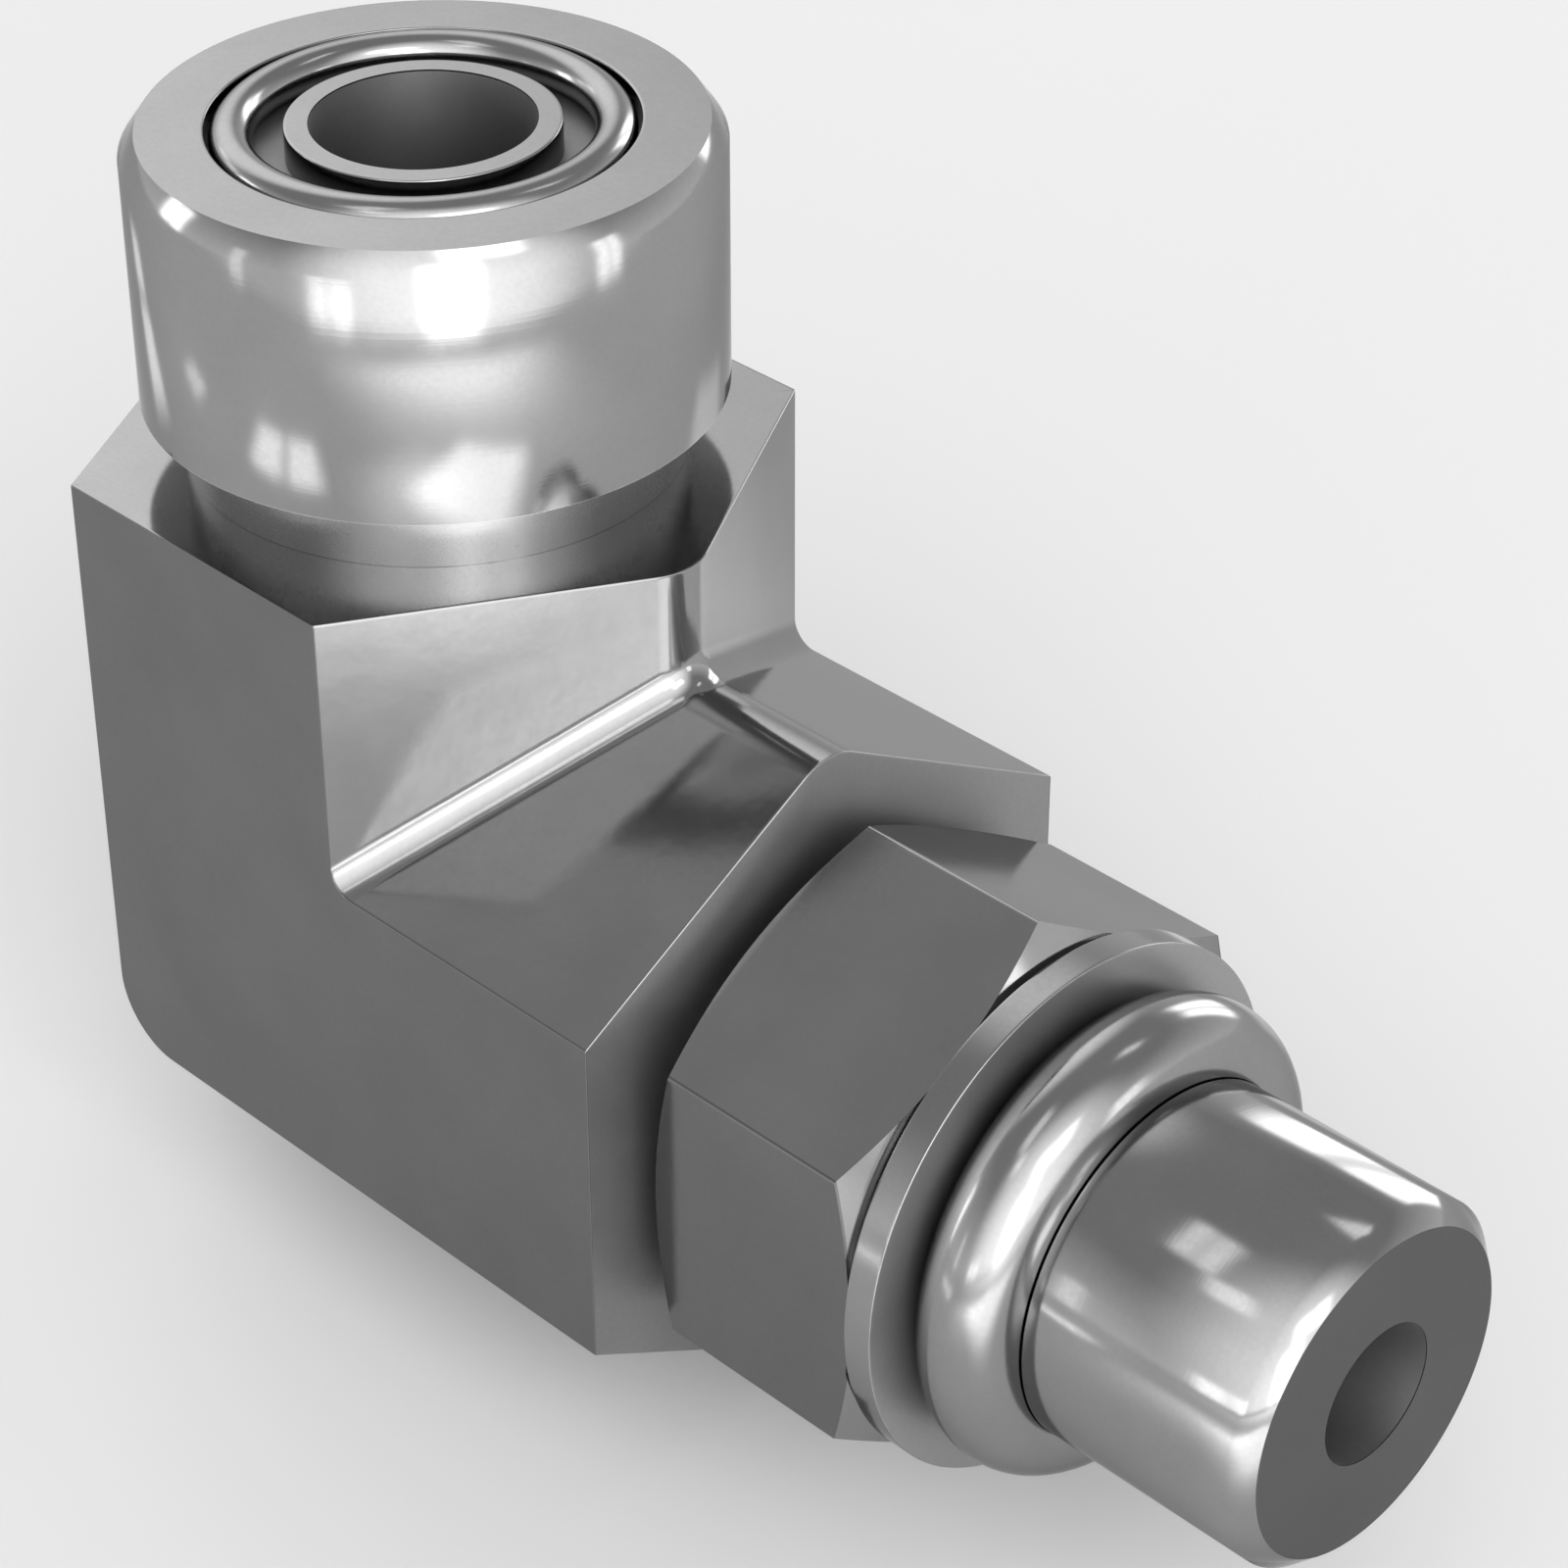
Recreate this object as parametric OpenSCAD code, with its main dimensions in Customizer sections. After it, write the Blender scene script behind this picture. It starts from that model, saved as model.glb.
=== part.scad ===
// Ninety degree adjustable elbow fitting for hydraulic hoses and ports.
// The origin is where the axes of the two arms cross. The face seal arm points up, along +Z, and the
// port stud points along +X. All sizes are in millimetres.

/* [Elbow arms] */
// Size of both hexagonal arms across their flats
arm_af = 19.05; // [17.5:0.05:26]
// Height of the face seal arm's hexagon above the stud's axis
face_arm_len = 14.5; // [14:0.1:30]
// Distance from the face seal arm's axis to the flat end of the stud arm's hexagon
stud_arm_len = 16.3; // [14:0.1:30]
// Radius on the two hexagon corners that meet inside the elbow
ridge_r = 1.9; // [0.5:0.1:3]
// Radius of the fillets in the valley between the arms
valley_r = 1; // [0.3:0.1:1.5]
// Radius of the elbow's back corner, measured on its side flats
back_r = 2.3; // [1.5:0.1:4]

/* [Face seal end] */
// Diameter of the neck between the hexagon and the threaded barrel
neck_d = 15; // [13:0.1:17]
// Length of the neck
neck_len = 2.1; // [1:0.1:5]
// Diameter over the barrel's thread
barrel_d = 17.46; // [17:0.02:18.5]
// Length of the barrel, from the neck to the sealing face
barrel_len = 8.3; // [6:0.1:14]
// Width of the chamfer at the barrel's mouth, across the radius
barrel_chamfer_w = 0.5; // [0.2:0.05:1]
// Height of the chamfer at the barrel's mouth, along the axis
barrel_chamfer_h = 0.7; // [0.2:0.05:1.5]
// Outer diameter of the groove in the sealing face
groove_d = 12.5; // [12.4:0.05:14]
// Outer diameter of the lip between the groove and the flow bore
lip_d = 8; // [7.4:0.05:9]
// Diameter of the flow bore in the face seal arm
face_bore_d = 6.6; // [5:0.1:7]

/* [Face seal ring] */
// Thickness of the ring's section
face_ring_t = 1.24; // [1:0.02:1.4]
// Mean diameter of the ring, between its inner and outer edges
face_ring_mid_d = 11.04; // [10.8:0.02:11.1]
// How far the ring stands out of the sealing face
face_ring_proud = 0.22; // [0.1:0.02:0.5]

/* [Port stud] */
// Diameter over the stud's thread
stud_d = 11.11; // [10.6:0.01:12]
// Length of the port thread, from the undercut to the stud's end
port_thread_len = 7.65; // [5:0.05:14]
// Chamfer at the stud's end
stud_chamfer = 0.6; // [0.2:0.05:1]
// Diameter of the flow bore in the stud arm
stud_bore_d = 4.3; // [3:0.1:5]

/* [Lock nut] */
// Size of the nut across its flats
nut_af = 15.8; // [14.5:0.1:19]
// Length of the nut along the stud
nut_len = 7.7; // [5:0.1:12]
// Free travel between the nut and the elbow
nut_travel_gap = 0.9; // [0.5:0.1:3]
// Diameter of the round face inside the nut's corner chamfers
nut_face_d = 15.55; // [13.5:0.05:15.7]
// Angle of the nut's corner chamfers, measured from its faces
nut_chamfer_angle = 26; // [15:1:30]
// Size of the chamfer at each end of the nut's bore
nut_bore_chamfer = 0.5; // [0.2:0.1:1]

/* [Backup washer] */
// Outer diameter of the washer
washer_d = 16.4; // [15:0.1:20]
// Thickness of the washer
washer_t = 0.95; // [0.6:0.05:2]

/* [Stud seal ring] */
// Thickness of the ring's section
stud_ring_t = 3.1; // [2:0.05:3.4]
// Mean diameter of the ring, between its inner and outer edges
stud_ring_mid_d = 11.6; // [11.2:0.05:12]

/* [Fits] */
// Clearance all round between the stud and what slides on it
running_clear = 0.05; // [0.02:0.01:0.1]
// Gap between pieces that touch and move against each other
touch_gap = 0.03; // [0.01:0.01:0.1]
// How far a seal ring is squeezed into the metal that it sits on
ring_squeeze = 0.04; // [0.02:0.01:0.1]
// Half the angle of the drill's point
drill_half_angle = 59; // [45:1:70]

/* [Hidden] */
$fn = 96;
metal = [0.66, 0.66, 0.67];
seal_grey = [0.55, 0.55, 0.56];

// A regular hexagon's corner radius, to the nearest micrometre
function corner_radius(across_flats) = round(1000 * across_flats / sqrt(3)) / 1000;

// The arms' hexagon, and the angle by which a hexagon's side leans from its corner
arm_half = arm_af / 2;
arm_corner = corner_radius(arm_af);
half_turn = 30;

// Heights along the face seal arm
barrel_z = face_arm_len + neck_len;
sealing_face_z = barrel_z + barrel_len;
groove_depth = face_ring_t - face_ring_proud - ring_squeeze;
face_ring_z = sealing_face_z + face_ring_proud - face_ring_t / 2;

// Places along the stud
nut_x = stud_arm_len + nut_travel_gap;
washer_x = nut_x + nut_len + touch_gap;
stud_ring_x = washer_x + washer_t + touch_gap + stud_ring_t / 2;
undercut_d = stud_ring_mid_d - stud_ring_t + 2 * ring_squeeze;
undercut_start_x = washer_x + washer_t / 2;
undercut_end_x = stud_ring_x + stud_ring_t / 2 + touch_gap;
stud_end_x = undercut_end_x + port_thread_len;
slide_bore_d = stud_d + 2 * running_clear;

// The flow bores meet at the origin, and the upright one ends in a drill point below it
face_bore_bottom_z = -stud_bore_d / 2;
drill_point_len = face_bore_d / 2 / tan(drill_half_angle);

// The back corner turns about an axis along Y, which is as far below the origin as behind it
back_axis = back_r - arm_corner / 2;

// Slope of the valley lines against the plane between the arms, and half the turn of the faces there
valley_lean = atan(arm_half / (arm_corner / sqrt(2)));
valley_half_turn = acos(sin(valley_lean) * cos(half_turn) / sqrt(2) + cos(valley_lean) * sin(half_turn));
valley_len = arm_half / sin(valley_lean);

// Overrun of a cutting shape past the face that it cuts
over = 1;

// How far a round reaches past the flats that it blends, so that it crosses them and ends at a clean edge
cross = 0.01;

// Stands a shape that is drawn along +Z on the stud's axis, at the given distance from the origin
module along_stud(x) {
    translate([x, 0, 0]) rotate([0, 90, 0]) children();
}

// A regular hexagon with a corner on its X axis
module hexagon(across_flats) {
    corner = corner_radius(across_flats);
    half = across_flats / 2;
    polygon([[corner, 0], [corner / 2, half], [-corner / 2, half],
             [-corner, 0], [-corner / 2, -half], [corner / 2, -half]]);
}

// An arm's section: a hexagon with its corner on +X rounded
module arm_section() {
    tangent_x = arm_corner - ridge_r * tan(half_turn) / 2;
    intersection() {
        hexagon(arm_af);
        union() {
            translate([tangent_x - 2 * arm_af, -arm_af]) square([2 * arm_af, 2 * arm_af]);
            translate([arm_corner - ridge_r / cos(half_turn), 0]) circle(r = ridge_r + cross);
        }
    }
}

// The rounded back of the elbow: two cones that touch the flats of both arms
module back_corner() {
    translate([back_axis, 0, back_axis])
        intersection() {
            for (side = [-90, 90])
                rotate([side, 0, 0]) cylinder(r1 = arm_corner + back_axis, r2 = back_r, h = arm_half);
            rotate([0, 180, 0]) translate([0, -arm_half, 0]) cube([arm_corner, arm_af, arm_corner]);
        }
}

// One of the two fillets in the valley, from the side flat at -Y to the middle plane
module valley_fillet() {
    tangent_w = valley_r * sin(valley_half_turn);
    tangent_h = valley_r / cos(valley_half_turn) - valley_r * cos(valley_half_turn);
    intersection() {
        translate([arm_corner, 0, arm_corner])
            rotate([0, 45, 0])
                rotate([-valley_lean, 0, 0])
                    translate([0, 0, -valley_len - 2 * valley_r])
                        difference() {
                            linear_extrude(valley_len + 4 * valley_r)
                                polygon([[-tangent_w, -tangent_h], [tangent_w, -tangent_h], [0, valley_r]]);
                            translate([0, -valley_r / cos(valley_half_turn), -over])
                                cylinder(r = valley_r + cross, h = valley_len + 4 * valley_r + 2 * over);
                        }
        translate([0, -arm_half, 0]) cube([2 * arm_corner, arm_half, 2 * arm_corner]);
    }
}

// The two arms, joined round the back corner and along the valley
module arms() {
    translate([0, 0, back_axis]) linear_extrude(face_arm_len - back_axis) arm_section();
    translate([back_axis, 0, 0])
        rotate([0, 90, 0])
            rotate([0, 0, 180])
                linear_extrude(stud_arm_len - back_axis) arm_section();
    back_corner();
    valley_fillet();
    mirror([0, 1, 0]) valley_fillet();
}

// The neck and barrel above the hexagon, with the groove open at the sealing face
module face_seal_end() {
    difference() {
        union() {
            translate([0, 0, face_arm_len - over]) cylinder(d = neck_d, h = neck_len + 2 * over);
            translate([0, 0, barrel_z]) cylinder(d = barrel_d, h = barrel_len - barrel_chamfer_h);
            translate([0, 0, sealing_face_z - barrel_chamfer_h])
                cylinder(d1 = barrel_d, d2 = barrel_d - 2 * barrel_chamfer_w, h = barrel_chamfer_h);
        }
        translate([0, 0, sealing_face_z - groove_depth])
            difference() {
                cylinder(d = groove_d, h = groove_depth + over);
                translate([0, 0, -over]) cylinder(d = lip_d, h = groove_depth + 3 * over);
            }
    }
}

// The stud with its undercut and end chamfer
module stud() {
    along_stud(stud_arm_len - over) cylinder(d = stud_d, h = undercut_start_x - stud_arm_len + over);
    along_stud(undercut_start_x - over) cylinder(d = undercut_d, h = undercut_end_x - undercut_start_x + 2 * over);
    along_stud(undercut_end_x) cylinder(d = stud_d, h = port_thread_len - stud_chamfer);
    along_stud(stud_end_x - stud_chamfer)
        cylinder(d1 = stud_d, d2 = stud_d - 2 * stud_chamfer, h = stud_chamfer);
}

// The two drillings, which meet at the origin
module flow_bores() {
    translate([0, 0, face_bore_bottom_z]) cylinder(d = face_bore_d, h = sealing_face_z - face_bore_bottom_z + over);
    translate([0, 0, face_bore_bottom_z - drill_point_len])
        cylinder(d1 = 0, d2 = face_bore_d, h = drill_point_len);
    along_stud(0) cylinder(d = stud_bore_d, h = stud_end_x + over);
}

module elbow_body() {
    color(metal)
        difference() {
            union() {
                arms();
                face_seal_end();
                stud();
            }
            flow_bores();
        }
}

// A round seal ring about the Z axis, centred on the XY plane
module seal_ring(mid_d, thickness) {
    rotate_extrude() translate([mid_d / 2, 0]) circle(d = thickness);
}

module face_seal_o_ring() {
    color(seal_grey) translate([0, 0, face_ring_z]) seal_ring(face_ring_mid_d, face_ring_t);
}

module lock_nut() {
    mouth_d = slide_bore_d + 2 * nut_bore_chamfer;
    wide_d = nut_face_d + 2 * nut_len / tan(nut_chamfer_angle);
    color(metal)
        along_stud(nut_x)
            difference() {
                intersection() {
                    linear_extrude(nut_len) hexagon(nut_af);
                    cylinder(d1 = nut_face_d, d2 = wide_d, h = nut_len);
                    cylinder(d1 = wide_d, d2 = nut_face_d, h = nut_len);
                }
                translate([0, 0, -over]) cylinder(d = slide_bore_d, h = nut_len + 2 * over);
                cylinder(d1 = mouth_d, d2 = slide_bore_d, h = nut_bore_chamfer);
                translate([0, 0, nut_len - nut_bore_chamfer])
                    cylinder(d1 = slide_bore_d, d2 = mouth_d, h = nut_bore_chamfer);
            }
}

module backup_washer() {
    color(metal)
        along_stud(washer_x)
            difference() {
                cylinder(d = washer_d, h = washer_t);
                translate([0, 0, -over]) cylinder(d = slide_bore_d, h = washer_t + 2 * over);
            }
}

module stud_o_ring() {
    color(seal_grey) along_stud(stud_ring_x) seal_ring(stud_ring_mid_d, stud_ring_t);
}

elbow_body();
face_seal_o_ring();
lock_nut();
backup_washer();
stud_o_ring();
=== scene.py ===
# %% [markdown]
# # Ninety degree elbow fitting
#
# An adjustable hydraulic elbow, drawn as a product picture: bright plated steel on a pale floor.
# The solid model gives the sizes and the moving bodies. Here each piece gets a skin that is worked out
# with numpy, then a finish, and then lamps that make plain grey metal look like metal.
#
# A surface is easiest to control as a grid: one direction goes round the piece and the other goes
# along it. Every skin below is such a grid, so it needs only a formula for the place of each point.

import bmesh
import bpy
import numpy as np
from mathutils import Matrix, Vector


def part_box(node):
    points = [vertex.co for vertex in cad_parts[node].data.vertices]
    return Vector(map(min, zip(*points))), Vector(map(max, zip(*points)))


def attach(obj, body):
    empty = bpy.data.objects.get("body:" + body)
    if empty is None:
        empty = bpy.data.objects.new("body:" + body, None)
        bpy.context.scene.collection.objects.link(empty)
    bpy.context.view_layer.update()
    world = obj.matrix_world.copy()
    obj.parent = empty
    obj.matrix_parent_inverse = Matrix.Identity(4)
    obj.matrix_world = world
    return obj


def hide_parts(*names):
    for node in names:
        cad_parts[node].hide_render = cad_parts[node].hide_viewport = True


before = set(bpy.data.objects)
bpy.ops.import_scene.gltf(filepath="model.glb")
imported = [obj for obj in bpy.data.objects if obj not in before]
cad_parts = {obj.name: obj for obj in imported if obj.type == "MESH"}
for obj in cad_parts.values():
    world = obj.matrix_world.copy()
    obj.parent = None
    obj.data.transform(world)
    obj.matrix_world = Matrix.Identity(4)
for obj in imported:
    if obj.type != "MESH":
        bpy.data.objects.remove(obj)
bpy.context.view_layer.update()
print("nodes:", sorted(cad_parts))

# %% [markdown]
# ## Units and places
#
# Blender works in metres and this fitting is as big as a thumb, so the numbers below are millimetres,
# and the mesh builder divides them once. The origin is where the axes of the two arms cross. The face
# seal arm points up along Z, and the port stud points along X.
#
# Sizes that the solid model can tell are measured from it. The others are the fitting's own details.

# %% Sizes of the fitting, in millimetres
MM = 0.001


def cad_size(node, corner, axis):
    """The place of one side of a solid's box along X, Y or Z, to the nearest thousandth of a millimetre."""
    return round(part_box(node)[corner]["XYZ".index(axis)] / MM, 3)


low, high = 0, 1
arm_half = cad_size("elbow_body", high, "Y")
stud_end_x = cad_size("elbow_body", high, "X")
sealing_face_z = cad_size("elbow_body", high, "Z")
nut_start_x = cad_size("lock_nut", low, "X")
nut_end_x = cad_size("lock_nut", high, "X")
nut_half = cad_size("lock_nut", high, "Y")
washer_start_x = cad_size("backup_washer", low, "X")
washer_end_x = cad_size("backup_washer", high, "X")
washer_r = cad_size("backup_washer", high, "Y")
print("arms", 2 * arm_half, "across flats; stud ends at", stud_end_x,
      "and sealing face is at", sealing_face_z)

# %% [markdown]
# ## Turning a grid into a mesh
#
# A shape made of boxes and cylinders would need booleans and bevels everywhere. A grid needs neither:
# rounds, chamfers and grooves are just more rows. Rows that form a crisp edge are marked, so that
# smooth shading stops there. All other rows blend, as on a turned or forged surface.

# %% Mesh builder


def quads_of(row_count, column_count, closed_rows):
    """Corner numbers of the faces between each row and the next. Columns always join up into a ring."""
    last = row_count if closed_rows else row_count - 1
    row = np.arange(last)[:, None]
    column = np.arange(column_count)[None, :]
    next_row = (row + 1) % row_count
    next_column = (column + 1) % column_count
    corners = [row * column_count + column, row * column_count + next_column,
               next_row * column_count + next_column, next_row * column_count + column]
    return np.stack([np.broadcast_to(c, (last, column_count)) for c in corners], axis=-1).reshape(-1, 4)


def signed_volume(points, faces):
    """Sum over all triangles of a . (b x c) / 6. It is positive when the faces point outwards."""
    total = 0.0
    for second, third in ((1, 2), (2, 3)):
        a, b, c = points[faces[:, 0]], points[faces[:, second]], points[faces[:, third]]
        total += np.einsum("ij,ij->i", a, np.cross(b, c)).sum() / 6
    return total


def skin(name, grid, crisp_rows, closed_rows=False):
    """A mesh object from a grid of points in millimetres, shaped (rows, columns, 3).
    An open grid gets a pole at each end: the middle of its first row, and of its last."""
    row_count, column_count, _ = grid.shape
    points = grid.reshape(-1, 3)
    faces = quads_of(row_count, column_count, closed_rows)
    if not closed_rows:
        poles = np.stack([grid[0].mean(axis=0), grid[-1].mean(axis=0)])
        first = len(points)
        points = np.concatenate([points, poles])
        ring = np.arange(column_count)
        after = (ring + 1) % column_count
        base = (row_count - 1) * column_count
        start_pole = np.full(column_count, first)
        end_pole = start_pole + 1
        start_fan = np.stack([after, ring, start_pole, start_pole], axis=-1)
        end_fan = np.stack([base + ring, base + after, end_pole, end_pole], axis=-1)
        faces = np.concatenate([faces, start_fan, end_fan])
    if signed_volume(points, faces) < 0:
        faces = faces[:, ::-1]
    face_list = [tuple(dict.fromkeys(corners)) for corners in faces.tolist()]
    mesh = bpy.data.meshes.new(name)
    mesh.from_pydata((points * MM).tolist(), [], face_list)
    mesh.shade_smooth()
    ends = np.empty(2 * len(mesh.edges), dtype=np.int32)
    mesh.edges.foreach_get("vertices", ends)
    rows = ends.reshape(-1, 2) // column_count
    crisp = (rows[:, 0] == rows[:, 1]) & np.isin(rows[:, 0], list(crisp_rows))
    mesh.attributes.new("sharp_edge", "BOOLEAN", "EDGE").data.foreach_set("value", crisp)
    piece = bpy.data.objects.new(name, mesh)
    bpy.context.scene.collection.objects.link(piece)
    return piece


print("the mesh builder is ready")

# %% [markdown]
# ## The outline of the arms and the nut
#
# Both are hexagons. On the real fitting no corner is perfectly sharp: forging leaves a small round,
# and the two corners that meet inside the elbow have a large one. An arc between two flats is exact
# and cheap, where a bevel modifier would have to find the corner again.

# %% Rounded hexagon
flat_steps = 22
support = 0.06


def rounded_hexagon(half_width, corner_rounds, arc_steps):
    """Points and outward directions of a hexagon with a corner on its first axis.
    Corner k is turned by 60 k degrees. Its arc has its centre round / cos 30 inside the corner, and
    point = centre + round * (cos a, sin a), with a from 30 degrees before the corner to 30 after it.
    Between two arcs run the points of a flat, with one close to each arc so that the flat stays flat."""
    corner_r = half_width / np.cos(np.pi / 6)
    arcs = []
    for k, round_r in enumerate(corner_rounds):
        middle = k * np.pi / 3
        centre = (corner_r - round_r / np.cos(np.pi / 6)) * np.array([np.cos(middle), np.sin(middle)])
        turn = middle + np.linspace(-np.pi / 6, np.pi / 6, arc_steps[k] + 1)
        direction = np.stack([np.cos(turn), np.sin(turn)], axis=-1)
        arcs.append((centre + round_r * direction, direction))
    points, directions = [], []
    for k, (arc, direction) in enumerate(arcs):
        start = arc[-1]
        end = arcs[(k + 1) % 6][0][0]
        near = support / np.linalg.norm(end - start)
        share = np.concatenate([[near], np.linspace(0, 1, flat_steps)[1:-1], [1 - near]])[:, None]
        points += [arc, start + share * (end - start)]
        directions += [direction, np.broadcast_to(direction[-1], (len(share), 2))]
    return np.concatenate(points), np.concatenate(directions)


edge_r = 0.03
forged_corner_r = 0.08
ridge_r = 1.9
ridge_steps = 16
corner_steps = 5
arm_outline, arm_outward = rounded_hexagon(
    arm_half, [ridge_r] + 5 * [forged_corner_r], [ridge_steps] + 5 * [corner_steps])
arm_turn = np.arctan2(arm_outline[:, 1], arm_outline[:, 0])
print("the arms' outline has", len(arm_outline), "points")

# %% [markdown]
# ## One skin for the whole body
#
# The body is one piece of steel, so it gets one skin. Its rows start in the middle of the sealing
# face, go over the lip and the groove, down the barrel and the neck, out over the hexagon, down the
# arm, round the bend, along the other arm, and over the stud to the middle of its end.
#
# The bend is the elegant part. Each point of the outline is carried along its own L-shaped path, and
# the corner of that path is an arc. Inside the elbow the arcs make the fillet in the valley, and
# outside they make the rounded back, which is wide on the ridge and tight at the side flats.

# %% Rows of the body
end_face_steps = 6
edge_steps = 5


def ring_about_z(radius, z):
    """Points of a circle round the face seal arm: (r cos t, r sin t, z)."""
    height = np.full_like(arm_turn, z)
    return np.stack([radius * np.cos(arm_turn), radius * np.sin(arm_turn), height], axis=-1)


def ring_about_x(radius, x):
    """Points of a circle round the stud: (x, r sin t, r cos t), so that t = 0 is on top."""
    return ring_about_z(radius, x)[:, ::-1]


def arm_end_rows(end, ring):
    """Rows from the round part that stands on an arm's end face out to the arm's wall.
    They blend from a circle to the outline on the flat face, then go round the edge:
    outline - outward * edge * (1 - sin a) and end - edge * (1 - cos a), with a from 0 to 90 degrees."""
    inner = np.stack([ring[:, 0], ring[:, 1], np.full(len(ring), end)], axis=-1)
    rim = arm_outline - arm_outward * (edge_r + support)
    share = np.linspace(0, 1, end_face_steps + 1)[:, None, None]
    flat = (1 - share) * inner[None, :, :2] + share * rim[None]
    rows = [np.concatenate([flat, np.full(flat.shape[:2] + (1,), end)], axis=-1)]
    turn = np.linspace(0, np.pi / 2, edge_steps + 1)[:, None, None]
    over_edge = arm_outline - arm_outward * edge_r * (1 - np.sin(turn))
    height = end - edge_r * (1 - np.cos(turn)) * np.ones(over_edge.shape[:2] + (1,))
    rows.append(np.concatenate([over_edge, height], axis=-1))
    below_edge = np.full((len(arm_outline), 1), end - edge_r - support)
    rows.append(np.append(arm_outline, below_edge, axis=-1)[None])
    return np.concatenate(rows)


print("rings and arm ends are ready")

# %% [markdown]
# Corners of a turned profile come in three kinds. A number is the radius of a small round, "crisp" is
# an edge where the shading breaks, and "soft" is an edge that the shading runs over. The barrel's and
# the stud's chamfers are soft towards the cylinder, which makes the long soft highlights on them.

# %% Turned profile
round_steps = 4


def turned_profile(corners):
    """Points and crisp flags of a profile through corners (radius, place, kind).
    A round of radius q at a corner with turn w starts q * tan(w / 2) before it, and its centre is
    q to the side. A point close before the round and one close after it keep the faces flat."""
    points, crisp = [], []
    for i, (radius, place, kind) in enumerate(corners):
        here = np.array([radius, place], dtype=float)
        if isinstance(kind, str):
            points.append(here)
            crisp.append(kind == "crisp")
            continue
        before = here - np.array(corners[i - 1][:2])
        after = np.array(corners[(i + 1) % len(corners)][:2]) - here
        before /= np.linalg.norm(before)
        after /= np.linalg.norm(after)
        cross = before[0] * after[1] - before[1] * after[0]
        turn = np.arctan2(cross, before @ after)
        reach = kind * np.tan(abs(turn) / 2)
        side = np.sign(cross) * np.array([-before[1], before[0]])
        centre = here - reach * before + kind * side
        a = np.linspace(0, turn, round_steps + 1)
        spin = np.stack([np.cos(a) * -side[0] - np.sin(a) * -side[1],
                         np.sin(a) * -side[0] + np.cos(a) * -side[1]], axis=-1)
        arc = centre + kind * spin
        points += [arc[0] - support * before, *arc, arc[-1] + support * after]
        crisp += [False] * (round_steps + 3)
    return np.array(points), np.array(crisp)


face_arm_end = 14.5
neck_r = 7.5
barrel_r = 8.73
barrel_start_z = 16.6
mouth_chamfer_w = 0.5
mouth_chamfer_h = 0.7
groove_r = 6.25
groove_depth = 0.98
groove_floor_z = sealing_face_z - groove_depth
lip_r = 4.0
fine_edge = 0.05
face_middle_r = 1.5
face_seal_profile, face_seal_crisp = turned_profile([
    (face_middle_r, sealing_face_z, "soft"),
    (lip_r, sealing_face_z, fine_edge),
    (lip_r, groove_floor_z, "crisp"),
    (groove_r, groove_floor_z, "crisp"),
    (groove_r, sealing_face_z, fine_edge),
    (barrel_r - mouth_chamfer_w, sealing_face_z, "crisp"),
    (barrel_r, sealing_face_z - mouth_chamfer_h, "soft"),
    (barrel_r, barrel_start_z, "crisp"),
    (neck_r, barrel_start_z, "crisp")])

stud_arm_end = 16.3
stud_r = 5.555
undercut_r = 4.29
undercut_start_x = (washer_start_x + washer_end_x) / 2
undercut_end_x = 29.04
stud_chamfer = 0.6
stud_middle_r = 1.2
stud_profile, stud_crisp = turned_profile([
    (stud_r, undercut_start_x, "crisp"),
    (undercut_r, undercut_start_x, "crisp"),
    (undercut_r, undercut_end_x, "crisp"),
    (stud_r, undercut_end_x, "crisp"),
    (stud_r, stud_end_x - stud_chamfer, "soft"),
    (stud_r - stud_chamfer, stud_end_x, "crisp"),
    (stud_middle_r, stud_end_x, "soft")])
print("face seal profile:", len(face_seal_profile), "points; stud profile:", len(stud_profile), "points")

# %% [markdown]
# On the real fitting the two arms are forged as one, so their walls run into each other: rounded at
# the back, and with a fillet in the valley inside the corner. This could be two long prisms cut at 45
# degrees, joined and bevelled. Rows that follow the bend need no cut and no join, because only the
# radius of each point's own arc changes round the outline.

# %% Bend of the two arms
back_r = 2.3
valley_r = 1.0
fillet_from = 2.5
fillet_grows_over = 2.7
leg_spacing = 0.8
back_axis = back_r - arm_half / np.cos(np.pi / 6) / 2
across = arm_outline[:, 0]
along_y = arm_outline[:, 1]


def bend_radii():
    """Radius of each outline point's own bend. Behind the back axis it is the distance to that axis.
    In front it grows over the side flat to valley_r * cos 30, which gives a fillet of valley_r there."""
    grow = np.clip((across - fillet_from) / fillet_grows_over, 0, 1)
    return np.maximum(back_axis - across, 0) + valley_r * np.cos(np.pi / 6) * grow * grow * (3 - 2 * grow)


def bend_rows(steps, leg_steps):
    """Rows down the face seal arm, round the bend and out along the stud arm.
    Each point follows (p, y, z) down to z = p + q, then (p + q - q cos b, y, p + q - q sin b) with b from
    0 to 90 degrees, then (x, y, p) outwards, where p is its outline place and q its bend radius."""
    q = bend_radii()
    b = np.linspace(0, np.pi / 2, steps + 1)[:, None]
    corner_x = across + q - q * np.cos(b)
    corner_z = across + q - q * np.sin(b)
    corner = np.stack(np.broadcast_arrays(corner_x, along_y, corner_z), axis=-1)
    leg = (np.linspace(0, 1, leg_steps + 1)[:-1] ** leg_spacing)[:, None]
    near = across + q + support
    down_z = (face_arm_end - edge_r - 2 * support) * (1 - leg) + near * leg
    down_z = np.concatenate([down_z, near[None]])
    down = np.stack(np.broadcast_arrays(across, along_y, down_z), axis=-1)
    out_x = near * leg[::-1] + (stud_arm_end - edge_r - 2 * support) * (1 - leg[::-1])
    out_x = np.concatenate([near[None], out_x])
    out = np.stack(np.broadcast_arrays(out_x, along_y, across), axis=-1)
    return np.concatenate([down, corner, out])


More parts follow.
